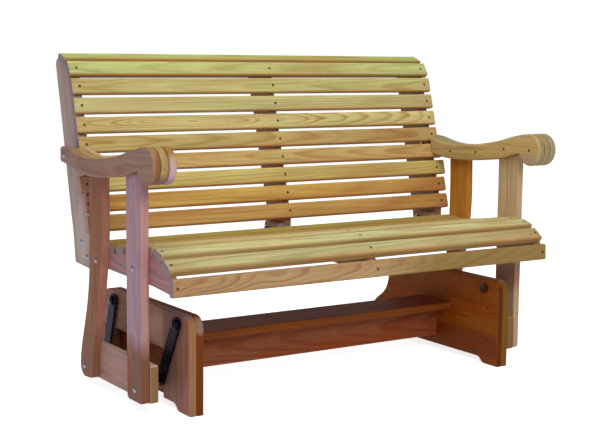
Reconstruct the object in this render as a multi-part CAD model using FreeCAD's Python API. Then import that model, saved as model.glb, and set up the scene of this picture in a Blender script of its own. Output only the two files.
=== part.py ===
import FreeCAD, Part
import math, os

# Porch glider bench: a slatted two-seat carriage hung on four steel straps
# inside a low base of two shaped side panels and a tee-beam stretcher.
# X runs along the seat, -Y is the sitter's side, +Z is up, floor at Z = 0.
V = FreeCAD.Vector

# Stock sizes
BOARD = 22.0            # planed thickness of every frame board
BASE_BOARD = 20.0       # planed thickness of the base sides
SEAT_SLAT = 1196.0      # seat slats, flush with the stringers
OVERHANG = 11.5         # of the back slats past the uprights
BACK_SLAT = SEAT_SLAT + 2 * OVERHANG    # four-foot stock
SLAT_W = 44.5
SLAT_T = 19.0
SLAT_ROUND = 5.5        # eased show edges
EASE = 3.0              # eased edges of frame boards

# Planes along X (right half, mirrored to the left)
X_OUT = SEAT_SLAT / 2           # outer face of stringers, rails and uprights
X_STR = X_OUT - BOARD           # inner face of stringers, rails and uprights
X_POST = X_OUT + BOARD          # outer face of the posts
X_GUS = X_STR - BOARD           # inner face of the gussets
SWING_GAP = 55.5                # between base and bottom rail, for the straps
X_BASE = X_STR - SWING_GAP      # outer face of the base
X_LEG = X_BASE - BASE_BOARD          # panel / leg-board joint
X_PAN = X_LEG - BASE_BOARD           # inner face of the base panel

# Back: straight recline, then rolled over at the top
RECLINE = 15.5                  # degrees from upright
BACK_PITCH = 53.4
ARM_SLAT = (180.0, 648.0)       # face centre of the slat level with the arms
ROLL = ((BACK_PITCH, 23.75, 31.0), (57.0, 56.0, 70.0))   # step, step angle, slat angle
UPRIGHT_W = 92.0

# Seat: face centre and lean of each slat, front to rear (90 = lying flat)
SEAT = ((-337.0, 338.0, 3.0), (-304.0, 390.5, 54.0), (-257.0, 417.5, 74.0),
        (-203.0, 423.0, 89.0), (-149.0, 417.5, 96.0), (-95.0, 409.5, 99.0),
        (-40.0, 401.5, 97.0), (15.0, 397.0, 92.0), (71.0, 399.0, 84.0))
STR_BOTTOM = 329.0              # underside of the seat stringers
SEAT_BACK = 136.0               # stringer end, butted to the upright
RAIL_Y = -118.0                 # cross rail under the seat
RAIL_Z = (331.0, 374.0)
LAP_Z = 352.0                   # half-lap of cross rail and centre stringer

# Posts
FRONT_Y = -211.0                # front face of the front posts
POST_W = 85.0
POST_FOOT = 30.0
RAIL_NOSE = 4.0                 # bottom rail past the front posts

# Scroll arm
KNOB = (-276.0, 626.0)
KNOB_R = 46.0
KNOB_ROUND = 8.0                # rim of each board's disc
KNOB_JOIN = (85.0, -18.0)       # where the arm's two edges meet the disc, in degrees
ARM_ROUND = 5.5
ARM_TAIL = 229.0                # rear end of the outer board, beside the upright
TAIL_BOLT = (209.0, 619.0)

# Bottom rail of the carriage
LOW_RAIL_H = 97.0
LOW_RAIL_END = 205.0

# Base
BASE_H = 250.0
BASE_FRONT = -272.0
BASE_REAR = 338.0
FOOT_RELIEF = 17.0
LEG_W = 143.0
REAR_LEG = (165.0, 295.0)
TOP_RAIL_Z = BASE_H - 104.0
BEAM_Y = (-61.0, 79.0)
BEAM_Z = BASE_H - 93.0
WEB_Y = 3.0
WEB_BOTTOM = 44.0

# Swing straps
PIVOT_Z = BASE_H - 26.0
PIVOT_FRONT = -215.0
PIVOT_REAR = 153.0
LINK_L = 175.0
LEAN_FRONT = 28.0               # degrees the strap leans back at rest
LEAN_REAR = 17.0
STRAP_W = 37.0
STRAP_T = 6.0
X_STRAP = X_BASE + 4.5          # inner face of the straps
PIN_D = 12.0
PIN_FIT = 0.05                  # radial running fit
PIN_SLACK = 1.2                 # radial slack of the three following straps
BOLT_D = 6.5
HEAD_D = 15.0                   # domed head of a coach bolt
HEAD_H = 4.0

MID_Y = 7.56                    # shift that centres the whole bench front to back


def box(x0, x1, y0, y1, z0, z1):
    return Part.makeBox(x1 - x0, y1 - y0, z1 - z0, V(x0, y0, z0))


def seg(a, b):
    return Part.makeLine(V(0, *a), V(0, *b))


def curve(pts):
    c = Part.BSplineCurve()
    c.interpolate([V(0, *p) for p in pts])
    return c.toShape()


def arc(a, m, b):
    return Part.Arc(V(0, *a), V(0, *m), V(0, *b)).toShape()


def poly(pts):
    return [seg(pts[i], pts[i + 1]) for i in range(len(pts) - 1)]


def plate(edges, x0, x1):
    """Board cut to the outline drawn by edges in the Y-Z plane."""
    f = Part.Face(Part.Wire(edges))
    f.translate(V(x0, 0, 0))
    return f.extrude(V(x1 - x0, 0, 0))


def corner_round(s, corners, r):
    """Round the X-running edges of a board that start at the given corners."""
    pick = []
    for e in s.Edges:
        a, b = e.Vertexes[0].Point, e.Vertexes[-1].Point
        if abs(a.y - b.y) < 1e-6 and abs(a.z - b.z) < 1e-6 and abs(a.x - b.x) > 1:
            if any(math.hypot(a.y - y, a.z - z) < 0.6 for y, z in corners):
                pick.append(e)
    return s.makeFillet(r, pick) if pick else s


def ease(s, r, faces=None):
    """Ease the outline edges that lie in the two broad faces of a board."""
    b = s.BoundBox
    xs = faces or (b.XMin, b.XMax)
    pick = [e for e in s.Edges
            if any(abs(e.BoundBox.XMin - x) < 1e-4 and abs(e.BoundBox.XMax - x) < 1e-4 for x in xs)]
    for job in ("makeFillet", "makeChamfer"):
        try:
            out = getattr(s, job)(r if job == "makeFillet" else r * 0.6, pick)
            if out.isValid() and abs(out.Volume - s.Volume) < 0.2 * s.Volume:
                return out
        except Exception:
            pass
    return s


def mirrored(s):
    return s.mirror(V(0, 0, 0), V(1, 0, 0))


def rod(d, x0, x1, yz):
    return Part.makeCylinder(d / 2, x1 - x0, V(x0, yz[0], yz[1]), V(1, 0, 0))


def hexagon(af, x0, x1, yz):
    r = af / math.sqrt(3)
    p = [(yz[0] + r * math.cos(math.radians(60 * i)), yz[1] + r * math.sin(math.radians(60 * i)))
         for i in range(7)]
    return plate(poly(p), x0, x1)


def slat(length, face, lean):
    """Slat with its show face centred on a point and leaning back."""
    s = box(-length / 2, length / 2, 0, SLAT_T, -SLAT_W / 2, SLAT_W / 2)
    show = [e for e in s.Edges if e.BoundBox.XLength > 1 and e.BoundBox.YMax < 0.1]
    s = s.makeFillet(SLAT_ROUND, show)
    hid = [e for e in s.Edges if e.BoundBox.XLength > 1 and e.BoundBox.YMin > SLAT_T - 0.1
           and e.BoundBox.ZLength < 0.1]
    s = s.makeFillet(2.0, hid)
    s.rotate(V(0, 0, 0), V(1, 0, 0), -lean)
    s.translate(V(0, *face))
    return s


def back_line(face, lean):
    """Point and direction of a slat's rear face."""
    a = math.radians(lean)
    return ((face[0] + SLAT_T * math.cos(a), face[1] - SLAT_T * math.sin(a)),
            (math.sin(a), math.cos(a)))


def meet(l1, l2):
    (p, d), (q, e) = l1, l2
    k = d[0] * e[1] - d[1] * e[0]
    t = ((q[0] - p[0]) * e[1] - (q[1] - p[1]) * e[0]) / k
    return (p[0] + t * d[0], p[1] + t * d[1])


def along(line, t):
    return (line[0][0] + t * line[1][0], line[0][1] + t * line[1][1])


# Slat places in the back, numbered from the top
sr, cr = math.sin(math.radians(RECLINE)), math.cos(math.radians(RECLINE))
back = {k: (ARM_SLAT[0] + (6 - k) * BACK_PITCH * sr, ARM_SLAT[1] + (6 - k) * BACK_PITCH * cr, RECLINE)
        for k in range(3, 11)}
for k, (step, way, lean) in zip((2, 1), ROLL):
    y, z, _ = back[k + 1]
    w = math.radians(way)
    back[k] = (y + step * math.sin(w), z + step * math.cos(w), lean)
bl = {k: back_line(b[:2], b[2]) for k, b in back.items()}
sl = [back_line(s[:2], s[2]) for s in SEAT]

# Fixings, as (y, z) of their axes
POST_BOLTS = ((FRONT_Y + 50, 363.0), (FRONT_Y + 41, 60.0))
REAR_BOLTS = ((57.0, 354.0), (138.0, 57.0))
FOOT_BOLTS = ((199.0, 384.0), (163.0, 347.0))       # upright to stringer or gusset
TOP_PINS = ((PIVOT_FRONT, PIVOT_Z), (PIVOT_REAR, PIVOT_Z))
LOW_PINS = tuple((y + LINK_L * math.sin(math.radians(a)), PIVOT_Z - LINK_L * math.cos(math.radians(a)))
                 for y, a in ((PIVOT_FRONT, LEAN_FRONT), (PIVOT_REAR, LEAN_REAR)))

parts = {}

# Slats
for k in sorted(back):
    parts["back_slat_%02d" % k] = slat(BACK_SLAT, back[k][:2], back[k][2])
for i, s in enumerate(SEAT):
    parts["seat_slat_%02d" % (i + 1)] = slat(SEAT_SLAT, s[:2], s[2])

# Back upright: flats behind every slat, rolled top, wide straight foot
def upright():
    foot_front = (SEAT_BACK, 317.0)
    knee = (SEAT_BACK, bl[10][0][1] - (bl[10][0][0] - SEAT_BACK) * cr / sr)
    front = [foot_front, knee, meet(bl[3], bl[2]), meet(bl[2], bl[1]), along(bl[1], 21.0)]
    off = lambda z: bl[10][0][0] + UPRIGHT_W / cr + (z - bl[10][0][1]) * sr / cr
    rear = [(SEAT_BACK + 89.0, 323.0), (off(430.0), 430.0), (off(540.0), 540.0),
            (off(650.0), 650.0), (off(740.0) + 2, 740.0), (342.0, 797.0), (351.0, 835.0), (353.0, 858.0)]
    top = front[-1]
    edges = poly(front + [(339.0, 874.0)])
    edges.append(arc((339.0, 874.0), (349.0, 869.0), rear[-1]))
    edges.append(curve(rear[::-1]))
    edges.append(seg(rear[0], foot_front))
    return edges, foot_front, rear[0]


def upright_board(x0, x1):
    edges, a, b = upright()
    s = corner_round(plate(edges, x0, x1), (a, b), 6.0)
    return ease(s, EASE)


# Seat stringer: top edge is a flat under every slat
def stringer(x0, x1, rear):
    top = [along(sl[0], -16.0)]
    top += [meet(sl[i], sl[i + 1]) for i in range(len(sl) - 1)]
    last = sl[-1]
    top.append(along(last, (SEAT_BACK - last[0][0]) / last[1][0]))
    low = [(SEAT_BACK, STR_BOTTOM + 7), (-229.0, STR_BOTTOM), (-296.0, STR_BOTTOM - 5)]
    if rear:
        heel = [(SEAT_BACK + 4, 402.0), (SEAT_BACK + 74, 406.0), (SEAT_BACK + 80, STR_BOTTOM + 9)]
        pts = top + heel + low[1:] + [top[0]]
        s = corner_round(plate(poly(pts), x0, x1), (heel[1], heel[2]), 9.0)
    else:
        pts = top + low + [top[0]]
        s = plate(poly(pts), x0, x1)
    return s


# Scroll arm: three boards side by side, each a swept body that ends in a disc
ARM_TOP = ((ARM_TAIL, 642), (200, 641.5), (175, 639), (145, 632.5), (107, 626), (62, 622.5), (5, 625),
           (-50, 630), (-105, 638), (-150, 647), (-190, 657.5), (-237, 667.5))
ARM_LOW = ((ARM_TAIL, 599), (188, 593.5), (150, 585), (105, 578.5), (70, 576), (0, 576.5), (-45, 580),
           (-85, 583.5), (-134, 590), (-172, 597), (-203, 606))


def on_knob(deg):
    return (KNOB[0] + KNOB_R * math.cos(math.radians(deg)), KNOB[1] + KNOB_R * math.sin(math.radians(deg)))


JOIN_TOP, JOIN_LOW = on_knob(KNOB_JOIN[0]), on_knob(KNOB_JOIN[1])


def arm_edges():
    return [curve(list(ARM_TOP) + [JOIN_TOP]), seg(JOIN_TOP, KNOB), seg(KNOB, JOIN_LOW),
            curve([JOIN_LOW] + list(ARM_LOW[::-1])), seg(ARM_LOW[0], ARM_TOP[0])]


def arm_board(x0, butts):
    """One board of the arm. It butts on the faces of the back slats, or runs past their ends."""
    s = plate(arm_edges(), x0, x0 + BOARD)
    if butts:
        (y0, z0), (y1, z1) = [(ARM_SLAT[0] + (z - ARM_SLAT[1]) * sr / cr, z) for z in (550.0, 700.0)]
        behind = poly([(y0, z0), (y1, z1), (y1 + 400, z1), (y0 + 400, z0), (y0, z0)])
        s = s.cut(plate(behind, x0 - 1, x0 + BOARD + 1))
    else:
        s = corner_round(s, (ARM_LOW[0], ARM_TOP[0]), 9.0)
    hub = [e for e in s.Edges if any(math.hypot(v.Point.y - KNOB[0], v.Point.z - KNOB[1]) < 1 for v in e.Vertexes)]
    rim = [e for e in s.Edges if not any(e.isSame(h) for h in hub) and e.BoundBox.XLength < 0.01]
    s = s.makeFillet(ARM_ROUND, rim)
    disc = Part.makeCylinder(KNOB_R, BOARD, V(x0, *KNOB), V(1, 0, 0))
    disc = disc.makeFillet(KNOB_ROUND, [e for e in disc.Edges if e.BoundBox.XLength < 0.01])
    return s.fuse(disc).removeSplitter()


def above_arm():
    """Everything above the arm's underside, used to scribe the post tops."""
    a, b = JOIN_LOW, ARM_LOW[0]
    return plate([arm_edges()[3], seg(b, (b[0], 800)), seg((b[0], 800), (a[0], 800)), seg((a[0], 800), a)],
                 X_OUT - 5, X_POST + 5)


# Front post, straight; rear post, swept back to the foot
def front_post():
    y1 = FRONT_Y + POST_W
    s = box(X_OUT, X_POST, FRONT_Y, y1, POST_FOOT, 640)
    s = corner_round(s, ((FRONT_Y, POST_FOOT), (y1, POST_FOOT)), 12.0)
    s = ease(s, EASE)
    return s.cut(above_arm())


def rear_post():
    rear = [(98.0, 640.0), (97.0, 575.0), (95.0, 500.0), (95.0, 430.0), (96.0, 380.0), (100.0, 318.0),
            (117.0, 225.0), (149.0, 128.0), (160.0, 88.0), (163.0, 62.0)]
    fore = [(17.0, 640.0), (17.0, 575.0), (15.0, 500.0), (16.0, 430.0), (21.0, 380.0), (31.0, 318.0),
            (51.0, 225.0), (74.0, 140.0), (84.0, 92.0), (88.0, 44.0)]
    edges = [curve(rear), arc(rear[-1], (150.0, POST_FOOT + 5), (126.0, POST_FOOT)),
             seg((126.0, POST_FOOT), (98.0, POST_FOOT + 2)),
             arc((98.0, POST_FOOT + 2), (90.5, POST_FOOT + 6), fore[-1]),
             curve(fore[::-1]), seg(fore[0], rear[0])]
    s = ease(plate(edges, X_OUT, X_POST), EASE)
    return s.cut(above_arm())


def gusset():
    pts = [(SEAT_BACK - 58, STR_BOTTOM + 9), (SEAT_BACK + 76, STR_BOTTOM + 9), (SEAT_BACK + 78, 402.0),
           (SEAT_BACK + 2, 402.0), (SEAT_BACK - 20, 373.0), (SEAT_BACK - 58, 373.0)]
    s = plate(poly(pts + pts[:1]), X_GUS, X_STR)
    return corner_round(s, pts, 7.0)


def cross_rail():
    s = box(-X_STR, X_STR, RAIL_Y, RAIL_Y + BOARD, *RAIL_Z)
    s = s.makeFillet(EASE, [e for e in s.Edges if e.BoundBox.XLength > X_STR and e.BoundBox.ZMax < RAIL_Z[0] + 1])
    return s.cut(box(-BOARD / 2, BOARD / 2, RAIL_Y - 1, RAIL_Y + BOARD + 1, LAP_Z, RAIL_Z[1] + 1))


def low_rail():
    z1 = POST_FOOT + LOW_RAIL_H
    y0 = FRONT_Y - RAIL_NOSE
    s = box(X_STR, X_OUT, y0, LOW_RAIL_END, POST_FOOT, z1)
    s = corner_round(s, ((LOW_RAIL_END, POST_FOOT), (LOW_RAIL_END, z1)), 22.0)
    s = corner_round(s, ((y0, POST_FOOT), (y0, z1)), 8.0)
    return ease(s, EASE)


# Base side outline: round shoulder in front, ogee to the rear foot,
# shallow relief between the feet
def ogee(y, side, up):
    """Two tangent arcs from floor level up to the relief, or back down."""
    run, h = 19.0, FOOT_RELIEF / 2
    q = (run ** 2 + h ** 2) / (2 * h)
    a = math.atan(h / run)
    m = (q * math.sin(a), q * (1 - math.cos(a)))
    low = [(y, 0), (y + side * m[0], m[1]), (y + side * run, h)]
    high = [(y + side * 2 * run, 2 * h), (y + side * (2 * run - m[0]), 2 * h - m[1]), low[2]]
    return [arc(*low), arc(*high[::-1])] if up else [arc(*high), arc(*low[::-1])]


def base_edges():
    r = 34.0
    f, b, h = BASE_FRONT, BASE_REAR, BASE_H
    e = [seg((f, 0), (f, h - r)),
         arc((f, h - r), (f + r * 0.293, h - r * 0.293), (f + r, h)),
         seg((f + r, h), (b - 142, h)),
         arc((b - 142, h), (b - 103, h - 19), (b - 87, h - 60)),
         curve([(b - 87, h - 60), (b - 80, h - 86), (b - 66, h - 109), (b - 42, h - 128), (b - 22, h - 142),
                (b - 9, h - 158)]),
         arc((b - 9, h - 158), (b - 2.5, h - 171), (b, h - 184)),
         seg((b, h - 184), (b, 0)),
         seg((b, 0), (b - 52, 0)),
         *ogee(b - 52, -1, True),
         seg((b - 90, FOOT_RELIEF), (f + 90, FOOT_RELIEF)),
         *ogee(f + 52, 1, False),
         seg((f + 52, 0), (f, 0))]
    return e


def base_side(x0, x1, *cut):
    """Panel, or the part of its outline that one leg board covers."""
    s = plate(base_edges(), x0, x1)
    if cut:
        y0, y1, z0, z1 = cut
        s = s.common(box(x0 - 1, x1 + 1, y0, y1, z0, z1))
    return ease(s, EASE)


def strap(top, low, slack):
    y, z = top
    dy, dz = low[0] - y, low[1] - z
    a = math.degrees(math.atan2(dy, -dz))
    r = STRAP_W / 2
    w = [seg((-r, 0), (-r, -LINK_L)), arc((-r, -LINK_L), (0, -LINK_L - r), (r, -LINK_L)),
         seg((r, -LINK_L), (r, 0)), arc((r, 0), (0, r), (-r, 0))]
    s = ease(plate(w, X_STRAP, X_STRAP + STRAP_T), 1.0)
    hole = rod(PIN_D + 2 * PIN_FIT, X_STRAP - 1, X_STRAP + STRAP_T + 1, (0, 0))
    hole = hole.fuse(rod(PIN_D + 2 * slack, X_STRAP - 1, X_STRAP + STRAP_T + 1, (0, -LINK_L)))
    s = s.cut(hole)
    s.rotate(V(0, 0, 0), V(1, 0, 0), a)
    s.translate(V(0, y, z))
    return s


def top_pin(p):
    """Through bolt: button head outside the strap, washer and nut on the panel."""
    x1 = X_STRAP + STRAP_T
    s = rod(PIN_D, X_PAN - 12, x1 + 2, p).fuse(rod(28.0, x1 + 0.3, x1 + 1.8, p))
    s = s.fuse(hexagon(19.0, x1 + 1.8, x1 + 7.0, p))
    return s.fuse(rod(28.0, X_PAN - 2.5, X_PAN, p)).fuse(hexagon(19.0, X_PAN - 12.5, X_PAN - 2.5, p))


def spacer(p):
    s = rod(26.0, X_BASE, X_STRAP - 0.3, p)
    return s.cut(rod(PIN_D, X_BASE - 1, X_STRAP, p))


def low_pin(p):
    """Shoulder screw let into the bottom rail: thin head, strap, long collar."""
    s = rod(PIN_D, X_STRAP - 2, X_STR + 15, p).fuse(rod(26.0, X_STRAP + STRAP_T + 0.3, X_STR, p))
    return s.fuse(rod(24.0, X_STRAP - 2.9, X_STRAP - 0.3, p))


def coach_bolt(p, x_head, x_nut):
    """Domed coach bolt, head towards +X, washer and nut at the other end."""
    r = (HEAD_D ** 2 / 4 + HEAD_H ** 2) / (2 * HEAD_H)
    dome = Part.makeSphere(r, V(x_head + HEAD_H - r, *p)).common(rod(4 * r, x_head, x_head + 2 * r, p))
    s = rod(BOLT_D, x_nut - 8, x_head + 1, p).fuse(dome)
    return s.fuse(rod(16.0, x_nut - 1.6, x_nut, p)).fuse(hexagon(11.0, x_nut - 7.0, x_nut - 1.6, p))


def drill(s, d, pts, x0, x1):
    for p in pts:
        s = s.cut(rod(d, x0, x1, p))
    return s


# Right half of the carriage and base, then its mirror
right = {}
right["back_upright"] = drill(upright_board(X_STR, X_OUT), BOLT_D, FOOT_BOLTS + (TAIL_BOLT,), X_STR - 1, X_OUT + 1)
right["seat_stringer"] = drill(stringer(X_STR, X_OUT, False), BOLT_D, (POST_BOLTS[0], REAR_BOLTS[0]),
                               X_STR - 1, X_OUT + 1)
right["seat_gusset"] = drill(gusset(), BOLT_D, FOOT_BOLTS, X_GUS - 1, X_STR + 1)
right["arm_board_inner"] = arm_board(X_STR, True)
right["arm_board_middle"] = arm_board(X_OUT, True)
right["arm_board_outer"] = drill(arm_board(X_POST, False), BOLT_D, (TAIL_BOLT,), X_POST - 1, X_POST + BOARD + 1)
right["front_post"] = drill(front_post(), BOLT_D, POST_BOLTS, X_OUT - 1, X_POST + 1)
right["rear_post"] = drill(rear_post(), BOLT_D, REAR_BOLTS, X_OUT - 1, X_POST + 1)
low = drill(low_rail(), BOLT_D, (POST_BOLTS[1], REAR_BOLTS[1]), X_STR - 1, X_OUT + 1)
right["bottom_rail"] = drill(low, PIN_D, LOW_PINS, X_STR - 1, X_STR + 15)
right["base_panel"] = drill(base_side(X_PAN, X_LEG), PIN_D, TOP_PINS, X_PAN - 1, X_LEG + 1)
f1 = BASE_FRONT + LEG_W
leg = base_side(X_LEG, X_BASE, BASE_FRONT - 1, f1, -1, BASE_H + 1)
right["base_front_leg"] = drill(leg, PIN_D, TOP_PINS[:1], X_LEG - 1, X_BASE + 1)
right["base_rear_leg"] = base_side(X_LEG, X_BASE, REAR_LEG[0], REAR_LEG[1], -1, TOP_RAIL_Z)
rail = base_side(X_LEG, X_BASE, f1, BASE_REAR, TOP_RAIL_Z, BASE_H + 1)
right["base_top_rail"] = drill(rail, PIN_D, TOP_PINS[1:], X_LEG - 1, X_BASE + 1)
for name, s in right.items():
    parts[name + "_right"] = s
    parts[name + "_left"] = mirrored(s)

# Middle frame
parts["back_upright_center"] = drill(upright_board(BOARD / 2, BOARD * 1.5), BOLT_D, FOOT_BOLTS, 0, BOARD * 2)
mid = stringer(-BOARD / 2, BOARD / 2, True)
mid = mid.cut(box(-BOARD, BOARD, RAIL_Y, RAIL_Y + BOARD, RAIL_Z[0], LAP_Z))
parts["seat_stringer_center"] = drill(mid, BOLT_D, FOOT_BOLTS, -BOARD, BOARD)
parts["seat_cross_rail"] = cross_rail()

# Tee beam of the base
top = box(-X_PAN, X_PAN, BEAM_Y[0], BEAM_Y[1], BEAM_Z - BOARD, BEAM_Z)
parts["stretcher_board"] = top.makeFillet(EASE, [e for e in top.Edges if e.BoundBox.XLength > X_PAN])
web = box(-X_PAN, X_PAN, WEB_Y, WEB_Y + BOARD, WEB_BOTTOM, BEAM_Z - BOARD)
parts["stretcher_web"] = web.makeFillet(EASE, [e for e in web.Edges if e.BoundBox.XLength > X_PAN
                                               and e.BoundBox.ZMax < WEB_BOTTOM + 1])

# Straps: the front left one carries the hinge of the carriage, so only its
# lower hole is a running fit
links = {"front": strap(TOP_PINS[0], LOW_PINS[0], PIN_SLACK), "rear": strap(TOP_PINS[1], LOW_PINS[1], PIN_SLACK)}
for k, s in links.items():
    parts["link_%s_right" % k] = s
    parts["link_%s_left" % k] = mirrored(s)
parts["link_front_left"] = mirrored(strap(TOP_PINS[0], LOW_PINS[0], PIN_FIT))


def both(shapes):
    return Part.Compound(shapes + [mirrored(s) for s in shapes])


parts["pivot_bolts"] = both([top_pin(p) for p in TOP_PINS])
parts["pivot_spacers"] = both([spacer(p) for p in TOP_PINS])
parts["swing_bolts"] = both([low_pin(p) for p in LOW_PINS])
side = [coach_bolt(p, X_POST, X_STR) for p in POST_BOLTS + REAR_BOLTS]
side += [coach_bolt(p, X_OUT, X_GUS) for p in FOOT_BOLTS]
side.append(coach_bolt(TAIL_BOLT, X_POST + BOARD, X_STR).fuse(rod(16.0, X_OUT, X_POST, TAIL_BOLT)))
centre = [coach_bolt(p, BOARD * 1.5, -BOARD / 2) for p in FOOT_BOLTS]
parts["coach_bolts"] = Part.Compound([both(side)] + centre)

os.makedirs("parts", exist_ok=True)
for name in sorted(parts):
    s = parts[name].copy()
    s.translate(V(0, -MID_Y, 0))
    print("%-24s solids %d valid %s volume %.0f" % (name, len(s.Solids), s.isValid(), s.Volume))
    s.exportStep("parts/%s.step" % name)
print(len(parts), "nodes")
bb = Part.Compound(list(parts.values())).BoundBox
print("bbox", [round(v, 1) for v in (bb.XMin, bb.XMax, bb.YMin, bb.YMax, bb.ZMin, bb.ZMax)])
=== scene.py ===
# %% [markdown]
# Porch glider bench, dressed in Blender.
# The solids of the bench come ready-made and are loaded as a fixed frame. This script gives them
# their cypress, steel and fixings, sets the studio and places the camera.
# Every length is in metres. X runs along the seat, -Y is the sitter's side, +Z is up.

# %% Load the frame
import bpy, bmesh, math, random
from mathutils import Matrix, Vector


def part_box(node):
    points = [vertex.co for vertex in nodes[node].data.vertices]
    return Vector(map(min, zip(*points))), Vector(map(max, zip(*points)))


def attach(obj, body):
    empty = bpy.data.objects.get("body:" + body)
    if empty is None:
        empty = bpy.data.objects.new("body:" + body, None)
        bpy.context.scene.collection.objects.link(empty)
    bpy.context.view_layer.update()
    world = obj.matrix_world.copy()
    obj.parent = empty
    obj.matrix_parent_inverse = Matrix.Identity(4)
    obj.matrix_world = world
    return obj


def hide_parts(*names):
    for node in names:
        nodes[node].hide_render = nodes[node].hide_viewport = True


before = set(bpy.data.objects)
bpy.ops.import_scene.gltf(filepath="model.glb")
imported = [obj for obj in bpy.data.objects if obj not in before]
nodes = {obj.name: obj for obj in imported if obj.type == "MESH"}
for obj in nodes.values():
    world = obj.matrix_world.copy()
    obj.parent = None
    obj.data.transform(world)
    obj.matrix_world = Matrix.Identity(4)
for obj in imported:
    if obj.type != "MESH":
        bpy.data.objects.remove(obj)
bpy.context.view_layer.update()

# %% [markdown]
# The camera.
# The picture was taken from the left end, a little above the arms, with a long lens. A lens this
# long keeps the slats almost parallel. The direction is built from a turn, a tilt and a small
# roll, because these three are what a photographer sets on a tripod head.

# %% Camera
TURN, TILT, ROLL = math.radians(-33.08), math.radians(7.30), math.radians(0.55)
STAND = (-1.9601, -2.9799, 0.8831)
FOCAL_MM, FILM_MM = 76.3, 36.0
back = Vector((math.sin(TURN) * math.cos(TILT), -math.cos(TURN) * math.cos(TILT), math.sin(TILT)))
level = (-back).cross(Vector((0, 0, 1))).normalized()
above = level.cross(-back)
right = math.cos(ROLL) * level + math.sin(ROLL) * above
up = -math.sin(ROLL) * level + math.cos(ROLL) * above
lens = bpy.data.cameras.new("camera")
lens.sensor_width = FILM_MM
lens.lens = FOCAL_MM
lens.clip_end = 60.0
camera = bpy.data.objects.new("camera", lens)
bpy.context.scene.collection.objects.link(camera)
camera.matrix_world = Matrix.Translation(STAND) @ Matrix((right, up, back)).transposed().to_4x4()
bpy.context.scene.camera = camera
bpy.context.scene.view_settings.view_transform = "Standard"
print("camera looks along", [round(v, 3) for v in -back])

# %% [markdown]
# Cypress in one node group.
# A board is a slice of a log, so its grain is a set of thin cones around a far-off pith. The group
# works in the board's own directions: along the grain, across the face and through the thickness.
# The distance from the pith, wavered by a slow noise, is cut into yearly rings. Faces then show
# arches, edges show straight lines and ends show curved rings, all from the same rule, which no
# flat pattern can do. A slow noise along the board crowds some arches together, and every ring
# gets a weight of its own, because no two summers are alike.
#
# A sawn edge and a sawn end drink more oil than a planed face and look darker or redder. The
# surface normal tells them apart, so the group takes one tone for the rim and one for the ends.
# The usual end tone, a cool lilac grey, is partly this darker end grain and partly painted shade.

# %% Grain group
SWAY, JITTER = 0.024, 0.005            # how far a ring wanders slowly and trembles, in metres
CROWDING = 0.42                        # how far arches are pulled together along the board
STREAKS, FIBRES = 0.72, 0.30           # how strongly streaks and fine fibres change the tone
LEVEL = (0.30, 0.37, 0.355)            # brightness of red, green and blue without any streak
DRIFT = (0.38, 0.24, 0.27)             # how far broad patches move each of them
EDGE_SHADE_FADE = 0.006                      # width over which the heart tone comes in at a low edge, as painted shade


def add(tree, kind, **props):
    n = tree.nodes.new(kind)
    for k, v in props.items():
        setattr(n, k, v)
    return n


def wire(tree, a, b):
    tree.links.new(a, b)


def maths(tree, op, a, b=None, clamp=False):
    n = add(tree, "ShaderNodeMath", operation=op, use_clamp=clamp)
    for s, v in zip(n.inputs, (a, b)):
        if v is None:
            continue
        if isinstance(v, (int, float)):
            s.default_value = v
        else:
            wire(tree, v, s)
    return n.outputs[0]


def noise(tree, vector, stretch, detail=3.0, rough=0.55):
    m = add(tree, "ShaderNodeMapping")
    m.inputs["Scale"].default_value = stretch
    wire(tree, vector, m.inputs["Vector"])
    n = add(tree, "ShaderNodeTexNoise")
    n.inputs["Scale"].default_value = 1.0
    n.inputs["Detail"].default_value = detail
    n.inputs["Roughness"].default_value = rough
    wire(tree, m.outputs[0], n.inputs["Vector"])
    return n.outputs["Fac"]


def blend(tree, fac, a, b, mode="MIX"):
    n = add(tree, "ShaderNodeMix", data_type="RGBA", blend_type=mode)
    for s, v in ((n.inputs[0], fac), (n.inputs[6], a), (n.inputs[7], b)):
        if isinstance(v, (int, float, tuple)):
            s.default_value = v
        else:
            wire(tree, v, s)
    return n.outputs[2]


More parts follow.
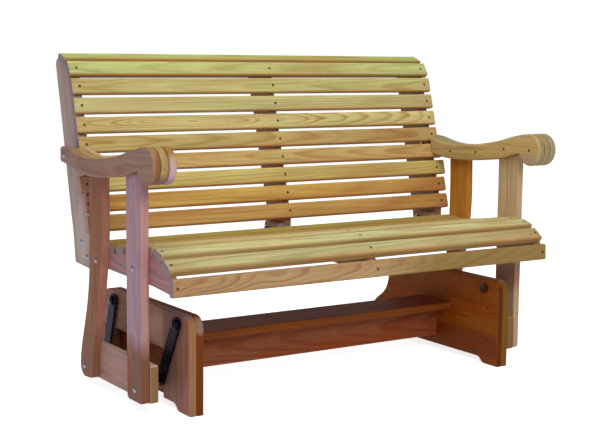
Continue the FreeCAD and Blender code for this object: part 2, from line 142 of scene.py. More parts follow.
def grain_group():
    g = bpy.data.node_groups.new("cypress_grain", "ShaderNodeTree")
    face = g.interface
    for name, kind in (("Board", "NodeSocketVector"), ("Early wood", "NodeSocketColor"),
                       ("Late wood", "NodeSocketColor"), ("Heart and edge shade", "NodeSocketColor"),
                       ("Pith across", "NodeSocketFloat"), ("Pith depth", "NodeSocketFloat"),
                       ("Slope", "NodeSocketFloat"), ("Ring width", "NodeSocketFloat"),
                       ("Ring strength", "NodeSocketFloat"), ("Heart amount", "NodeSocketFloat"),
                       ("Shaded low edge", "NodeSocketFloat"), ("Edge shade amount", "NodeSocketFloat"),
                       ("Along", "NodeSocketVector"), ("Face", "NodeSocketVector"),
                       ("Rim", "NodeSocketColor"), ("Rim amount", "NodeSocketFloat"),
                       ("End", "NodeSocketColor"), ("End amount", "NodeSocketFloat")):
        face.new_socket(name, in_out="INPUT", socket_type=kind)
    for name, kind in (("Color", "NodeSocketColor"), ("Roughness", "NodeSocketFloat"),
                       ("Height", "NodeSocketFloat")):
        face.new_socket(name, in_out="OUTPUT", socket_type=kind)
    i, o = add(g, "NodeGroupInput").outputs, add(g, "NodeGroupOutput").inputs
    xyz = add(g, "ShaderNodeSeparateXYZ")
    wire(g, i["Board"], xyz.inputs[0])
    x, y, z = xyz.outputs
    sway = maths(g, "MULTIPLY", maths(g, "SUBTRACT", noise(g, i["Board"], (2.2, 9, 9), 2.0), 0.5), SWAY)
    jitter = maths(g, "MULTIPLY", maths(g, "SUBTRACT", noise(g, i["Board"], (9, 45, 45), 2.0), 0.5), JITTER)
    waver = maths(g, "ADD", sway, jitter)
    across = maths(g, "ADD", maths(g, "SUBTRACT", y, i["Pith across"]), waver)
    bunch = maths(g, "ADD", x, maths(g, "MULTIPLY", noise(g, i["Board"], (3.2, 2, 2), 2.0), CROWDING))
    depth = maths(g, "ADD", maths(g, "SUBTRACT", z, i["Pith depth"]),
                  maths(g, "MULTIPLY", bunch, i["Slope"]))
    radius = maths(g, "SQRT", maths(g, "ADD", maths(g, "MULTIPLY", across, across),
                                    maths(g, "MULTIPLY", depth, depth)))
    count = maths(g, "DIVIDE", radius, i["Ring width"])
    year = maths(g, "FRACT", count)
    summer = add(g, "ShaderNodeTexWhiteNoise", noise_dimensions="1D")
    wire(g, maths(g, "FLOOR", count), summer.inputs["W"])
    weight = maths(g, "ADD", maths(g, "MULTIPLY", summer.outputs["Value"], 0.75), 0.45)
    ring = add(g, "ShaderNodeValToRGB")
    stops = ring.color_ramp.elements
    stops[0].position, stops[0].color = 0.0, (0.12, 0.12, 0.12, 1)
    stops[1].position, stops[1].color = 1.0, (0.10, 0.10, 0.10, 1)
    for at, v in ((0.45, 0.22), (0.80, 1.0), (0.90, 0.85)):
        stops.new(at).color = (v, v, v, 1)
    wire(g, year, ring.inputs[0])
    late = maths(g, "MULTIPLY", maths(g, "MULTIPLY", ring.outputs[0], weight), i["Ring strength"], True)
    fibre = noise(g, i["Board"], (14, 420, 420), 3.0, 0.6)
    streak = noise(g, i["Board"], (4, 110, 110), 4.0, 0.65)
    patch = noise(g, i["Board"], (2.5, 14, 14), 2.0)
    heart_and_edge_shade = maths(g, "MULTIPLY", maths(g, "MULTIPLY", maths(g, "SUBTRACT", patch, 0.38), 3.2, True),
                  i["Heart amount"], True)
    # Painted shade: the heart tone comes in along the low edge of a board, with a ragged border.
    below = maths(g, "DIVIDE", maths(g, "SUBTRACT", maths(g, "MULTIPLY", y, -1.0), i["Shaded low edge"]),
                  EDGE_SHADE_FADE, True)
    ragged = maths(g, "MULTIPLY", below, maths(g, "ADD", maths(g, "MULTIPLY", patch, 1.2), 0.3, True))
    heart_and_edge_shade = maths(g, "MAXIMUM", heart_and_edge_shade, maths(g, "MULTIPLY", ragged, i["Edge shade amount"]))
    ground = blend(g, heart_and_edge_shade, i["Early wood"], i["Heart and edge shade"])
    tinted = blend(g, late, ground, i["Late wood"])
    cast = noise(g, i["Board"], (5, 26, 26), 3.0, 0.6)
    lines = maths(g, "ADD", maths(g, "MULTIPLY", streak, STREAKS), maths(g, "MULTIPLY", fibre, FIBRES))
    grey = add(g, "ShaderNodeCombineColor")
    for s, base, swing in zip(grey.inputs, LEVEL, DRIFT):
        wire(g, maths(g, "ADD", lines, maths(g, "ADD", maths(g, "MULTIPLY", cast, swing), base)), s)
    normal = add(g, "ShaderNodeTexCoord").outputs["Normal"]

    def toward(axis, least, steep):
        """One where the surface looks along an axis, nought where it looks elsewhere."""
        n = add(g, "ShaderNodeVectorMath", operation="DOT_PRODUCT")
        wire(g, normal, n.inputs[0])
        wire(g, axis, n.inputs[1])
        past = maths(g, "SUBTRACT", maths(g, "ABSOLUTE", n.outputs["Value"]), least)
        return maths(g, "MULTIPLY", past, steep, True)

    rim = maths(g, "MULTIPLY", maths(g, "SUBTRACT", 1.0, toward(i["Face"], 0.25, 2.0)), i["Rim amount"])
    ringed = blend(g, maths(g, "MULTIPLY", late, 0.6), i["Rim"], i["Late wood"])
    rimmed = blend(g, rim, tinted, ringed)
    faced = blend(g, 1.0, rimmed, grey.outputs[0], "MULTIPLY")
    end = maths(g, "MULTIPLY", toward(i["Along"], 0.72, 5.0), i["End amount"])
    wire(g, blend(g, end, faced, i["End"]), o["Color"])
    wire(g, maths(g, "ADD", maths(g, "MULTIPLY", fibre, 0.22), 0.40), o["Roughness"])
    height = maths(g, "SUBTRACT", maths(g, "MULTIPLY", fibre, 0.7), maths(g, "MULTIPLY", late, 0.5))
    wire(g, height, o["Height"])
    return g


GRAIN = grain_group()
print("grain group has", len(GRAIN.nodes), "nodes")

# %% [markdown]
# One finish for each board.
# Boards of one bench come from different logs, so each has its own tone, ring width and place of
# the pith. A seeded generator picks them, which gives the same bench at every run. The mapping
# node turns the bench's directions into the board's own.
#
# Boards carry patches of another tone: a brown foot, a red streak, a pale corner. Two of them are
# painted light and shade: a lit patch on a base rail, and a darker band low on the inside of a
# base panel. Each is a soft ellipsoid in the bench's axes with a ragged border. Where boards lie
# side by side, a thin dark line of painted shade follows the groove at each seam.

# %% Board finish
def tone(r, g, b):
    """An eight-bit colour as Blender's linear one."""
    lin = [((c / 255 + 0.055) / 1.055) ** 2.4 if c > 10 else c / 255 / 12.92 for c in (r, g, b)]
    return (*lin, 1.0)


# End grain tone, partly painted shade: its lilac grey is the cast of the shaded left end.
END_GRAIN_AND_SHADE_TONE = (140, 124, 133)
SEAM_SHADE_TONE = (92, 52, 28)
SEAM_WIDTH, SEAM_SHADE_AMOUNT = 0.0026, 0.6
WOOD_SHINE = 0.12
WOOD_BUMP, WOOD_DEPTH = 0.25, 0.0008
luck = random.Random(7)


def shift(rgb, r, g, b):
    """A darker or lighter neighbour of an eight-bit colour, as Blender's linear one."""
    return tone(*(max(c + d, 4) for c, d in zip(rgb, (r, g, b))))


def dress(node, finish):
    nodes[node].data.materials.clear()
    nodes[node].data.materials.append(finish)


def mark(t, where, paint, centre, reach, colour, amount):
    """A soft patch of another tone: an ellipsoid in the bench's own axes with a ragged rim."""
    rub = add(t, "ShaderNodeMapping", vector_type="TEXTURE")
    rub.inputs["Location"].default_value = centre
    rub.inputs["Scale"].default_value = reach
    wire(t, where, rub.inputs["Vector"])
    far = add(t, "ShaderNodeVectorMath", operation="LENGTH")
    wire(t, rub.outputs[0], far.inputs[0])
    torn = maths(t, "ADD", far.outputs["Value"],
                 maths(t, "MULTIPLY", noise(t, where, (40, 40, 12), 2.0), 0.5))
    inside = maths(t, "MULTIPLY", maths(t, "SUBTRACT", 1.35, torn), 2.5, True)
    return blend(t, maths(t, "MULTIPLY", inside, amount), paint, tone(*colour))


def groove_shade_lines(t, where, paint, seams):
    """Thin dark lines of painted shade in the grooves where boards meet, the same at both ends of the
    bench.
    """
    apart = add(t, "ShaderNodeSeparateXYZ")
    wire(t, where, apart.inputs[0])
    out = maths(t, "ABSOLUTE", apart.outputs["X"])
    for at in seams:
        off = maths(t, "ABSOLUTE", maths(t, "SUBTRACT", out, at))
        near = maths(t, "SUBTRACT", 1.0, maths(t, "DIVIDE", off, SEAM_WIDTH), True)
        paint = blend(t, maths(t, "MULTIPLY", near, SEAM_SHADE_AMOUNT), paint, tone(*SEAM_SHADE_TONE))
    return paint


def cypress(node, grain, face, rgb, strength=0.4, hearty=0.5, ring=0.0045, pith=None, slope=None,
            edge=None, heart_and_edge_shade=None, rim=None, end=END_GRAIN_AND_SHADE_TONE, marks=(), seams=()):
    """Finish for a board, from the way its grain runs and the way its broad face looks."""
    low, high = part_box(node)
    m = bpy.data.materials.new("cypress_" + node)
    m.use_nodes = True
    t = m.node_tree
    shader = t.nodes["Principled BSDF"]
    gx = Vector(grain).normalized()
    gz = Vector(face).normalized()
    gy = gz.cross(gx)
    place = add(t, "ShaderNodeMapping", vector_type="TEXTURE")
    place.inputs["Location"].default_value = (low + high) / 2 + gx * luck.uniform(-0.5, 0.5)
    place.inputs["Rotation"].default_value = Matrix((gx, gy, gz)).transposed().to_euler()
    where = add(t, "ShaderNodeTexCoord").outputs["Object"]
    wire(t, where, place.inputs["Vector"])
    g = add(t, "ShaderNodeGroup", node_tree=GRAIN)
    wire(t, place.outputs[0], g.inputs["Board"])
    values = {"Early wood": tone(*rgb), "Late wood": shift(rgb, -42, -62, -60),
              "Heart and edge shade": tone(*heart_and_edge_shade) if heart_and_edge_shade else shift(rgb, -14, -34, -48), "Along": gx, "Face": gz,
              "Rim": tone(*(rim or rgb)), "Rim amount": 0.9 if rim else 0.0,
              "End": tone(*(end or rgb)), "End amount": 0.95 if end else 0.0,
              "Pith across": luck.uniform(-0.03, 0.03) if pith is None else pith[0],
              "Pith depth": -luck.uniform(0.05, 0.14) if pith is None else pith[1],
              "Slope": luck.choice((-1, 1)) * luck.uniform(0.004, 0.022) if slope is None else slope,
              "Ring width": ring * luck.uniform(0.8, 1.25), "Ring strength": strength,
              "Heart amount": hearty, "Shaded low edge": edge[0] if edge else 1.0,
              "Edge shade amount": edge[1] if edge else 0.0}
    for k, v in values.items():
        g.inputs[k].default_value = v
    bump = add(t, "ShaderNodeBump")
    bump.inputs["Strength"].default_value = WOOD_BUMP
    bump.inputs["Distance"].default_value = WOOD_DEPTH
    wire(t, g.outputs["Height"], bump.inputs["Height"])
    paint = g.outputs["Color"]
    for centre, reach, colour, amount in marks:
        paint = mark(t, where, paint, centre, reach, colour, amount)
    if seams:
        paint = groove_shade_lines(t, where, paint, seams)
    wire(t, paint, shader.inputs["Base Color"])
    wire(t, g.outputs["Roughness"], shader.inputs["Roughness"])
    wire(t, bump.outputs["Normal"], shader.inputs["Normal"])
    shader.inputs["Specular IOR Level"].default_value = WOOD_SHINE
    dress(node, m)


X, Y, Z = (1, 0, 0), (0, 1, 0), (0, 0, 1)
LEAN = math.radians(15.5)
print("the back leans by", round(math.degrees(LEAN), 1), "degrees")

# %% [markdown]
# Back slats.
# The upper slats are sap wood, pale yellow with a green cast, and the lower ones are darker heart
# wood that turns orange. The fifth slat is cut flat across the log and shows large arches, so its
# pith lies close behind the face and its grain climbs more steeply. The left ends of the lowest
# four stand in the shade behind the arm, and that shade is painted on them in a reddish brown.
# The lower edge of every slat takes the heart tone as painted shade.

# %% Dress the back slats
back_tones = {1: (183, 192, 111), 2: (193, 202, 131), 3: (199, 194, 128), 4: (202, 196, 135),
              5: (214, 204, 140), 6: (196, 175, 114), 7: (206, 179, 116), 8: (210, 195, 121),
              9: (212, 175, 96), 10: (204, 165, 98)}
back_leans = {1: 70.0, 2: 31.0}                      # degrees, where a slat follows the roll of the top
arches = {5: (0.0048, -0.018, 0.062), 6: (0.004, -0.03, 0.028), 7: (0.004, -0.035, -0.022)}
for k, rgb in back_tones.items():
    a = math.radians(back_leans[k]) if k in back_leans else LEAN
    ring, depth, slope = arches.get(k, (0.0028, -luck.uniform(0.05, 0.12), luck.uniform(-0.012, 0.012)))
    across = 0.004 if k in arches else luck.uniform(-0.04, 0.04)
    low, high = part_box("back_slat_%02d" % k)
    mid = (low + high) / 2
    # Painted shade: a reddish brown patch on the left ends of slats 7 to 10, behind the arm.
    shade = (214, 160, 150) if k == 7 else (186, 136, 124)
    shaded_end = [((-0.612, mid.y, mid.z), (0.024, 0.05, 0.05), shade, 0.85)]
    # edge= paints shade in the heart tone along the lower edge of each slat.
    cypress("back_slat_%02d" % k, X, (0, -math.cos(a), math.sin(a)), rgb, 0.95 if k == 5 else 0.65,
            0.5 if k < 9 else 0.8, ring, (across, depth), slope, edge=(0.0145, 0.9),
            heart_and_edge_shade=(164, 102, 62), marks=shaded_end if k > 6 else ())
print("back slats dressed:", len(back_tones))

# %% [markdown]
# Seat slats.
# They lie in the light and are the palest boards, with warm brown only along a rounded edge, which
# is painted shade. The front one stands upright and is a darker tan; the olive towards its right
# end is painted shade, where the light falls off.

# %% Dress the seat slats
# Painted shade: the front slat turns a darker olive towards its right end.
FRONT_SLAT_SHADE = [((0.48, -0.34, 0.338), (0.42, 0.1, 0.1), (130, 107, 40), 0.65)]
seat_tones = {1: (181, 153, 113), 2: (188, 184, 131), 3: (204, 204, 146), 4: (205, 200, 145),
              5: (208, 196, 147), 6: (199, 186, 130), 7: (189, 184, 113), 8: (173, 158, 88),
              9: (167, 157, 82)}
for k, rgb in seat_tones.items():
    face = (0, -1, 0.05) if k == 1 else (0, -0.25 if k < 4 else 0.1, 1)
    # edge= paints shade in the heart tone along one rounded edge of each seat slat.
    cypress("seat_slat_%02d" % k, X, face, rgb, 0.6, 0.45, 0.003,
            slope=0.05 if k == 1 else luck.uniform(-0.012, 0.012), edge=(0.0155, 0.85),
            heart_and_edge_shade=(166, 112, 68), marks=FRONT_SLAT_SHADE if k == 1 else ())
print("seat slats dressed:", len(seat_tones))

# %% [markdown]
# Frame of the carriage.
# Posts, stringers, uprights, arms and bottom rails are cut from wider boards of a pinkish brown
# heart wood. Grain follows the length of each board: along the arm, up the post, up the lean of
# the back. Each board has a left and a right tone: partly the wood of two different logs, partly
# painted shade, a lilac cast on the left end, which stands in the shade. Some rims have a tone of
# their own. The left front post turns brown towards its foot, with a red streak down its rear
# edge, and the knobs of the arms show the tones of three different boards.

# %% Dress the carriage frame
LEANING = (0, math.sin(LEAN), math.cos(LEAN))
ARM_SEAMS = (0.598, 0.620)
PLAIN = (160, 122, 92)
# The left tones carry painted shade: the lilac cast of the shaded left end.
frame_woods = {
    "arm_board_outer": (Y, (153, 124, 108), (185, 166, 114), 0.40, 0.4,
                        {"end": None, "rim": (152, 118, 76)}),
    "arm_board_middle": (Y, (189, 168, 112), (180, 158, 106), 0.45, 0.6,
                         {"end": None, "rim": (162, 132, 88)}),
    "arm_board_inner": (Y, (189, 160, 122), (195, 173, 120), 0.50, 0.5,
                        {"end": None, "rim": (182, 158, 126)}),
    "front_post": (Z, (178, 146, 158), (197, 174, 139), 0.45, 0.3, {}),
    "rear_post": (Z, (148, 102, 73), (190, 134, 52), 0.50, 0.5, {}),
    "back_upright": (LEANING, (181, 164, 159), (150, 120, 92), 0.40, 0.4, {}),
    "seat_stringer": (Y, (170, 129, 132), (166, 124, 90), 0.40, 0.4, {}),
    "seat_gusset": (Y, (162, 115, 84), (162, 115, 84), 0.35, 0.5, {}),
    "bottom_rail": (Y, (176, 141, 133), (176, 146, 100), 0.45, 0.4, {"end": (136, 100, 62)})}
rims = {"rear_post_left": (188, 128, 111), "front_post_left": (186, 140, 136),
        "bottom_rail_left": (212, 186, 164),
        "arm_board_outer_right": (147, 144, 121), "arm_board_middle_right": (151, 139, 114),
        "arm_board_inner_right": (154, 140, 105), "base_front_leg_left": (158, 114, 72),
        "base_front_leg_right": (126, 83, 6), "base_top_rail_left": (168, 122, 114)}
ends = {"base_panel_left": (110, 54, 8), "base_panel_right": (86, 37, 3)}
knob_x, knob_y, knob_z = 0.587, -0.2836, 0.626
# Each patch: its middle, its reach along X, Y and Z, its tone and how much of it shows.
patches = {
    "front_post_left": [((-0.609, -0.175, 0.07), (0.06, 0.12, 0.125), (113, 68, 28), 0.85),
                        ((-0.620, -0.146, 0.085), (0.02, 0.009, 0.065), (150, 62, 24), 0.8),
                        ((-0.620, -0.152, 0.165), (0.02, 0.008, 0.034), (140, 110, 66), 0.55),
                        ((-0.600, -0.219, 0.33), (0.006, 0.02, 0.10), (164, 92, 70), 0.6)],
    "front_post_right": [((0.609, -0.19, 0.27), (0.04, 0.09, 0.07), (170, 124, 104), 0.7)],
    "rear_post_left": [((-0.620, 0.13, 0.20), (0.02, 0.012, 0.16), (158, 96, 54), 0.7),
                       ((-0.609, 0.14, 0.07), (0.03, 0.10, 0.14), (122, 80, 54), 0.7)],
    "back_upright_left": [((-0.598, 0.163, 0.50), (0.03, 0.026, 0.085), (150, 108, 92), 0.6),
                          ((-0.598, 0.185, 0.42), (0.03, 0.05, 0.09), (200, 180, 174), 0.6)],
    # Painted light: a paler patch where light falls on the left top rail.
    "base_top_rail_left": [((-0.5205, -0.14, 0.19), (0.02, 0.09, 0.05), (186, 148, 126), 0.7)],
    "arm_board_inner_left": [
        ((-knob_x, knob_y, knob_z + 0.045), (0.03, 0.06, 0.028), (148, 106, 40), 0.9),
        ((-knob_x, knob_y - 0.02, knob_z - 0.010), (0.03, 0.045, 0.030), (196, 162, 172), 0.8),
        ((-knob_x, knob_y, knob_z - 0.038), (0.03, 0.05, 0.026), (162, 128, 164), 0.8)],
    "arm_board_outer_left": [
        ((-0.624, knob_y - 0.03, knob_z - 0.012), (0.012, 0.05, 0.050), (134, 88, 58), 0.85)],
    "arm_board_middle_left": [
        ((-0.609, knob_y, knob_z - 0.038), (0.03, 0.05, 0.028), (134, 94, 94), 0.85)],
    "arm_board_inner_right": [
        ((knob_x, knob_y, knob_z - 0.03), (0.03, 0.05, 0.024), (170, 140, 130), 0.5)],
    "base_front_leg_left": [((-0.5105, -0.262, 0.16), (0.02, 0.008, 0.08), (136, 84, 44), 0.6)],
    "base_panel_left": [((-0.4905, -0.277, 0.232), (0.02, 0.02, 0.030), (150, 122, 108), 0.8)],
    # Painted shade: the inside of the right panel darkens towards the bottom.
    "base_panel_right": [((0.4805, -0.12, 0.05), (0.03, 0.22, 0.05), (116, 46, 4), 0.7)]}


def dress_pairs(woods):
    """Finishes for boards that come in pairs, one at each end of the bench."""
    for name, (grain, left, right, strength, hearty, more) in woods.items():
        for side, out, rgb in (("_left", (-1, 0, 0), left), ("_right", (1, 0, 0), right)):
            node = name + side
            own = {"ring": 0.0035, **more}
            if node in rims:
                own["rim"] = rims[node]
            if node in ends:
                own["end"] = ends[node]
            cypress(node, grain, out, rgb, strength, hearty, marks=patches.get(node, ()),
                    seams=ARM_SEAMS if name.startswith("arm") else (), **own)


dress_pairs(frame_woods)
cypress("back_upright_center", LEANING, X, (160, 122, 96), 0.35)
cypress("seat_stringer_center", Y, X, PLAIN, 0.35)
cypress("seat_cross_rail", X, (0, -1, 0), PLAIN, 0.35)
print("carriage frame dressed")

# %% [markdown]
# Base.
# The base stands in the shade of the seat and is the darkest wood, a red brown. The outer leg
# boards stand on end and the panel and the stretcher run level. The panels are cut close to the
# pith, so wide arches cross them.

# %% Dress the base
# Here too some left tones carry painted shade, a lilac cast.
base_woods = {"base_panel": (Y, (146, 78, 22), (160, 92, 19), 0.60, 0.6,
                             {"pith": (0.004, -0.03), "slope": 0.07, "ring": 0.006}),
              "base_front_leg": (Z, (166, 126, 114), (150, 104, 44), 0.55, 0.6, {}),
              "base_rear_leg": (Z, (150, 102, 76), (150, 100, 60), 0.50, 0.6, {}),
              "base_top_rail": (Y, (164, 122, 98), (150, 104, 66), 0.50, 0.6, {})}
dress_pairs(base_woods)
cypress("stretcher_board", X, Z, (121, 60, 28), 0.45, 0.7, rim=(148, 80, 27))
cypress("stretcher_web", X, (0, -1, 0), (165, 99, 65), 0.55, 0.7)
print("base dressed")

# %% [markdown]
# Steel.
# The straps are flat bar in dull black paint with an uneven skin; the rear pair has a lighter,
# bluer copy of it, which is painted light.
# The swing bolts, spacers and pivots are a glossier black. The coach bolts are zinc plated:
# bright, pale and slightly clouded. The nuts on the inside of the base are a dull brown.

# %% Steel finishes
SKIN_DEPTH = 0.0002
PANEL_INSIDE = 0.4808                  # from the middle of the bench to the inside of a base panel


def steel(name, rgb, rough, spread, skin, shine=0.5, metallic=0.0):
    """A finish with a cloudy tone, a gloss that varies by spread, and a fine uneven skin."""
    m = bpy.data.materials.new(name)
    m.use_nodes = True
    t = m.node_tree
    shader = t.nodes["Principled BSDF"]
    place = add(t, "ShaderNodeTexCoord").outputs["Object"]
    cloud = noise(t, place, (60, 60, 60), 3.0)
    fine = noise(t, place, (900, 900, 900), 2.0)
    dark = tuple(c * 0.72 for c in rgb[:3]) + (1.0,)
    wire(t, blend(t, cloud, dark, rgb), shader.inputs["Base Color"])
    wire(t, maths(t, "ADD", maths(t, "MULTIPLY", cloud, spread), rough), shader.inputs["Roughness"])
    bump = add(t, "ShaderNodeBump")
    bump.inputs["Strength"].default_value = skin
    bump.inputs["Distance"].default_value = SKIN_DEPTH
    wire(t, fine, bump.inputs["Height"])
    wire(t, bump.outputs["Normal"], shader.inputs["Normal"])
    shader.inputs["Metallic"].default_value = metallic
    shader.inputs["Specular IOR Level"].default_value = shine
    return m


BLACK_PAINT = steel("black_paint", tone(24, 15, 28), rough=0.30, spread=0.15, skin=0.06, shine=0.04)
# Painted light: the same black paint, lighter and bluer, for the rear straps.
BLACK_PAINT_LIT_BLUE = steel("black_paint_lit_blue", tone(58, 46, 76), rough=0.32, spread=0.15, skin=0.06, shine=0.04)
GLOSS_BLACK = steel("gloss_black", tone(14, 12, 22), rough=0.10, spread=0.04, skin=0.03, shine=0.10)
ZINC = steel("zinc_plate", tone(140, 142, 156), rough=0.16, spread=0.2, skin=0.10, metallic=1.0)
SCREW = steel("screw_bronze", tone(46, 36, 26), rough=0.45, spread=0.2, skin=0.10, metallic=0.4)


def dull_inside(finish, limit):
    """The same finish, turned to dull brown between two planes across the bench: the nuts inside."""
    m = finish.copy()
    m.name = finish.name + "_outside"
    t = m.node_tree
    shader = t.nodes["Principled BSDF"]
    apart = add(t, "ShaderNodeSeparateXYZ")
    wire(t, add(t, "ShaderNodeTexCoord").outputs["Object"], apart.inputs[0])
    inside = maths(t, "LESS_THAN", maths(t, "ABSOLUTE", apart.outputs["X"]), limit)
    was = shader.inputs["Base Color"].links[0].from_socket
    wire(t, blend(t, inside, was, tone(74, 46, 26)), shader.inputs["Base Color"])
    return m


for name in nodes:
    if name.startswith("link_"):
        dress(name, BLACK_PAINT_LIT_BLUE if "rear" in name else BLACK_PAINT)
    elif name == "pivot_bolts":
        dress(name, dull_inside(GLOSS_BLACK, PANEL_INSIDE))
    elif name in ("pivot_spacers", "swing_bolts"):
        dress(name, GLOSS_BLACK)
    elif name == "coach_bolts":
        dress(name, ZINC)
print("steel finishes:", [m.name for m in (BLACK_PAINT, BLACK_PAINT_LIT_BLUE, GLOSS_BLACK, ZINC, SCREW)])

# %% [markdown]
# Slat screws.
# Each slat is held by one screw at each end and one in the middle. A screw head is a shallow
# dish with a cross cut in it, sunk just below the wood. All heads of a group are one mesh, built
# from rings round a star. A ray sent square to the slat finds the wood, so each head sits on the
# face itself however the slat leans.

# %% Screw heads
SCREW_RADIUS = 0.0037
BACK_X, SEAT_X = (-0.588, 0.022, 0.588), (-0.586, 0.001, 0.586)       # along the slats


def skin_rings(bm, rings):
    """Faces between one ring of corners and the next, and a lid at both ends."""
    n = len(rings[0])
    for lower, upper in zip(rings, rings[1:]):
        for j in range(n):
            bm.faces.new((lower[j], lower[(j + 1) % n], upper[(j + 1) % n], upper[j]))
    bm.faces.new(rings[-1])
    bm.faces.new(rings[0][::-1])


def as_object(name, bm):
    """The finished mesh as an object of the scene."""
    mesh = bpy.data.meshes.new(name)
    bm.to_mesh(mesh)
    bm.free()
    o = bpy.data.objects.new(name, mesh)
    bpy.context.scene.collection.objects.link(o)
    return o


def screw_head(bm, place, normal):
    """A sunk head with a cross recess: rings round a star, stepping down to its middle."""
    spin = Vector(normal).normalized().to_track_quat("Z", "Y").to_matrix().to_4x4()
    turn = Matrix.Rotation(luck.uniform(0, math.pi / 2), 4, "Z")
    at = Matrix.Translation(place) @ spin @ turn
    rings = []
    for r, h, star in ((1.06, -0.0010, 0), (1.06, 0.0001, 0), (0.96, 0.0004, 0), (0.80, 0.0003, 0),
                       (0.60, 0.0002, 1), (0.48, -0.0008, 1)):
        ring = []
        for j in range(16):
            a = j * math.pi / 8
            k = r * (1.0 if not star or j % 4 == 0 else 0.42)
            radius = k * SCREW_RADIUS
            ring.append(bm.verts.new(at @ Vector((radius * math.cos(a), radius * math.sin(a), h))))
        rings.append(ring)
    skin_rings(bm, rings)


def screws(name, places, body):
    bm = bmesh.new()
    for p, n in places:
        screw_head(bm, p, n)
    bm.normal_update()
    o = as_object(name, bm)
    o.data.materials.append(SCREW)
    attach(o, body)
    print(name, len(places), "screws")


RAY_START = 0.05                                     # how far above a slat the ray sets out
bpy.context.view_layer.update()


def on_face(node, lean, x):
    """Where a line square to a slat's show face meets the wood, through the middle of its box."""
    low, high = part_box(node)
    n = Vector((0, -math.cos(lean), math.sin(lean)))
    mid = (low + high) / 2
    o = nodes[node]
    back_to = o.matrix_world.inverted()
    start = back_to @ (Vector((x, mid.y, mid.z)) + n * RAY_START)
    hit, at, _, _ = o.ray_cast(start, back_to.to_3x3() @ -n)
    return (o.matrix_world @ at if hit else mid), n


outer_left = {7: -0.6045, 8: -0.601, 9: -0.603}      # slats whose left screw sits further out
seat_leans = (3.0, 54.0, 74.0, 89.0, 96.0, 99.0, 97.0, 92.0, 84.0)    # degrees, front to rear


def on_back(k, x):
    lean = math.radians(back_leans[k]) if k in back_leans else LEAN
    return on_face("back_slat_%02d" % k, lean, x)


screws("back_screws", [on_back(k, x) for k in range(2, 11)
                       for x in (outer_left.get(k, BACK_X[0]), *BACK_X[1:])], "carriage")
screws("seat_screws", [on_face("seat_slat_%02d" % k, math.radians(lean), x)
                       for k, lean in enumerate(seat_leans, 1) for x in SEAT_X], "carriage")

# %% [markdown]
# Screws of the arms and the base.
# The three boards of an arm are screwed together from the inside, and the base panel is screwed to
# its legs and rail in the same way.

# %% Arm and base screws
ARM_SPOTS = ((0.066, 0.600), (-0.054, 0.605), (-0.178, 0.6226), (-0.286, 0.6253))
PANEL_SPOTS = ((-0.0429, 0.1908), (0.2068, 0.1705), (-0.2363, 0.1659), (-0.2400, 0.0766),
               (-0.1761, 0.0295))


def inner_screws(name, board, side, spots, body):
    """Screws in the face of a board that looks towards the middle of the bench."""
    s = -1 if side == "left" else 1
    low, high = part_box(board + side)
    x = low.x if s > 0 else high.x
    screws(name + side, [(Vector((x, y, z)), (-s, 0, 0)) for y, z in spots], body)


for side in ("left", "right"):
    inner_screws("arm_screws_", "arm_board_inner_", side, ARM_SPOTS, "carriage")
    inner_screws("base_screws_", "base_panel_", side, PANEL_SPOTS, "base")

# %% [markdown]
# Pivot caps.
# Each upper pivot ends in a black domed cap pushed over its head, which keeps water off the steel
# and cloth off its edges. It is turned from one profile: a straight skirt that stops just short
# of the strap, and a round top.

# %% Domed caps
CAP_RADIUS = 0.0130
CAP_SIDES = 24
OFF_STRAP = 0.0008                                   # from the end of the skirt to the strap
TIP_DEPTH = 0.0005                                   # corners this near the end make a bolt's tip


def dome(bm, tip, outward, skirt):
    rings = []
    for r, h in ((1.0, skirt), (1.0, 0.0052), (0.93, 0.0030), (0.77, 0.0007), (0.52, -0.0009),
                 (0.22, -0.0017)):
        ring = []
        for j in range(CAP_SIDES):
            a = 2 * math.pi * j / CAP_SIDES
            ring.append(bm.verts.new(tip + Vector((-outward * h, r * CAP_RADIUS * math.cos(a),
                                                   r * CAP_RADIUS * math.sin(a)))))
        rings.append(ring)
    skin_rings(bm, rings)


bpy.context.view_layer.update()
pins = nodes["pivot_bolts"]
corners = [pins.matrix_world @ v.co for v in pins.data.vertices]
reach = max(abs(p.x) for p in corners)
skirt = reach - abs(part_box("link_front_left")[0].x) - OFF_STRAP
bm = bmesh.new()
for outward in (-1, 1):
    for front in (True, False):
        end = [p for p in corners if p.x * outward > reach - TIP_DEPTH and (p.y < 0) == front]
        dome(bm, sum(end, Vector()) / len(end), outward, skirt)
bmesh.ops.recalc_face_normals(bm, faces=bm.faces)
caps = as_object("pivot_caps", bm)
for polygon in caps.data.polygons:
    polygon.use_smooth = True
caps.data.materials.append(GLOSS_BLACK)
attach(caps, "base")
print("cap skirts are", round(skirt, 4), "deep")

# %% [markdown]
# Fuller boards.
# The outer uprights swell towards the rear below the arms, by almost 3 cm. The arm's outer board
# runs a little further at the tail. The lower back slats end where each was sawn, a few
# millimetres past their neighbours. A copy of the ready-made mesh gets each of these: every corner
# of the copy goes through one rule, and the copy then stands for the solid, in the same place.

# %% Swell the uprights, lengthen the tails and the slat ends
# Height above the floor, and how far the rear edge moves there.
REAR_SWELL = ((0.300, 0.015), (0.331, 0.019), (0.362, 0.023), (0.458, 0.027), (0.506, 0.024),
              (0.586, 0.019), (0.650, 0.016), (0.713, 0.012), (0.777, 0.006), (0.815, 0.004),
              (0.841, 0.005), (0.857, 0.008), (0.875, 0.008), (0.900, 0.0))
BOLT_LINES = ((0.1914, 0.384), (0.1554, 0.347), (0.2014, 0.619))      # Y and Z of the bores
BORE_REACH = 0.0075
SWELL_START = (0.158, 0.384)                         # Y and Z of a point on the line of no swell
TAIL_START, TAIL_MORE = 0.215, 0.006
SLAT_END = 0.602
slat_growth = {7: 0.007, 8: 0.010, 9: 0.003, 10: 0.002}


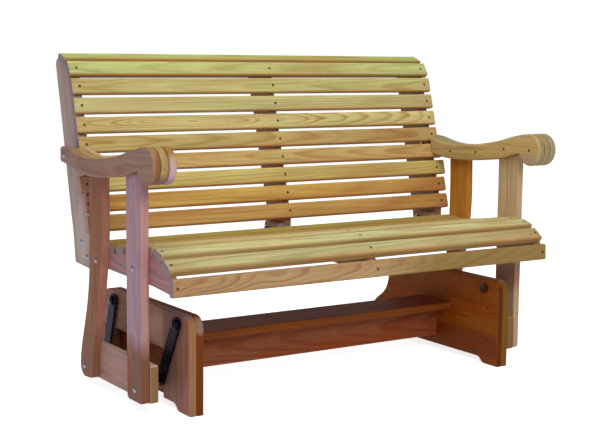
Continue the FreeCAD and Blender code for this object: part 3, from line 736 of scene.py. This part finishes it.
def swell_at(z):
    """The swell at a height, in a straight line between the two nearest rows of the table."""
    for (z0, k0), (z1, k1) in zip(REAR_SWELL, REAR_SWELL[1:]):
        if z0 <= z <= z1:
            return k0 + (k1 - k0) * (z - z0) / (z1 - z0)
    return 0.0


def fuller(node, rule):
    """A copy of a piece whose corners have gone through a rule. It stands for the piece."""
    solid = nodes[node]
    there = solid.matrix_world.copy()
    here = there.inverted()
    mesh = solid.data.copy()
    for v in mesh.vertices:
        v.co = here @ rule(there @ v.co)
    mesh.update()
    o = bpy.data.objects.new(node + "_fuller", mesh)
    bpy.context.scene.collection.objects.link(o)
    o.matrix_world = there
    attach(o, "carriage")
    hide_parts(node)
    return max((b.co - a.co).length for a, b in zip(solid.data.vertices, mesh.vertices))


def rear_edge(p):
    """The rear edge of an upright swells, and its bores stay round."""
    start = SWELL_START[0] + (p.z - SWELL_START[1]) * math.tan(LEAN)
    if p.y < start or any(math.hypot(p.y - y, p.z - z) < BORE_REACH for y, z in BOLT_LINES):
        return p
    return p + Vector((0, swell_at(p.z), 0))


def tail(p):
    return p + Vector((0, TAIL_MORE, 0)) if p.y > TAIL_START else p


bpy.context.view_layer.update()
moved = {}
for side in ("left", "right"):
    moved["back_upright_" + side] = fuller("back_upright_" + side, rear_edge)
    moved["arm_board_outer_" + side] = fuller("arm_board_outer_" + side, tail)
for k, more in slat_growth.items():
    node = "back_slat_%02d" % k
    moved[node] = fuller(node, lambda p: p + Vector((math.copysign(more, p.x), 0, 0))
                         if abs(p.x) > SLAT_END else p)
for node, far in moved.items():
    print(node, "moved by up to", round(1000 * far, 1), "mm")

# %% [markdown]
# Studio.
# A white floor, a white world and three soft lamps. The key stands to the right of the camera and
# above, so the seat and the back are pale and the left end of the bench falls into a soft, cool
# shade, as in the picture. The floor shows white to the camera and still takes the contact shadow.

# %% Floor and world
FLOOR_HALF = 30.0
FLOOR_GLOW = 0.78                      # what the camera sees the floor give out
ROOM_LIGHT, BACKDROP = 0.34, 0.70      # what lights the bench, and what the camera sees on top


def floor():
    bm = bmesh.new()
    bmesh.ops.create_grid(bm, x_segments=1, y_segments=1, size=FLOOR_HALF)
    o = as_object("floor", bm)
    m = bpy.data.materials.new("studio_floor")
    m.use_nodes = True
    t = m.node_tree
    t.nodes.clear()
    out = add(t, "ShaderNodeOutputMaterial")
    paint = add(t, "ShaderNodeBsdfDiffuse")
    paint.inputs["Color"].default_value = (0.82, 0.82, 0.82, 1)
    glow = add(t, "ShaderNodeEmission")
    ray = add(t, "ShaderNodeLightPath")
    seen = maths(t, "MAXIMUM", ray.outputs["Is Camera Ray"], ray.outputs["Is Glossy Ray"])
    wire(t, maths(t, "MULTIPLY", seen, FLOOR_GLOW), glow.inputs["Strength"])
    both = add(t, "ShaderNodeAddShader")
    wire(t, paint.outputs[0], both.inputs[0])
    wire(t, glow.outputs[0], both.inputs[1])
    wire(t, both.outputs[0], out.inputs["Surface"])
    o.data.materials.append(m)


floor()
world = bpy.data.worlds.new("studio")
bpy.context.scene.world = world
world.use_nodes = True
t = world.node_tree
ray = add(t, "ShaderNodeLightPath")
seen = maths(t, "MAXIMUM", ray.outputs["Is Camera Ray"], ray.outputs["Is Transmission Ray"])
sky = t.nodes["Background"]
sky.inputs["Color"].default_value = (0.98, 0.98, 1.0, 1)
wire(t, maths(t, "ADD", maths(t, "MULTIPLY", seen, BACKDROP), ROOM_LIGHT), sky.inputs["Strength"])
print("world lights the room at", ROOM_LIGHT)

# %% [markdown]
# Lamps.
# Large lamps give soft shadows. The key and the top lamp are slightly warm, and the one at the
# left is cool, which adds to the painted lilac shade of the left end of the bench.

# %% Lamps
def lamp(name, place, aim, size, watts, rgb):
    d = bpy.data.lights.new(name, "AREA")
    d.shape = "SQUARE"
    d.size = size
    d.energy = watts
    d.color = rgb
    o = bpy.data.objects.new(name, d)
    bpy.context.scene.collection.objects.link(o)
    o.location = place
    o.rotation_euler = (Vector(aim) - Vector(place)).to_track_quat("-Z", "Y").to_euler()


lamp("key", (-1.2, -3.9, 2.9), (-0.2, 0, 0.45), 2.0, 110, (1.0, 0.98, 0.92))
lamp("top", (-0.4, 0.2, 4.0), (0, 0, 0.4), 2.6, 60, (1.0, 0.99, 0.95))
lamp("side", (-4.2, 0.6, 1.4), (0, 0, 0.45), 2.0, 16, (0.72, 0.74, 1.0))
print("three lamps set")
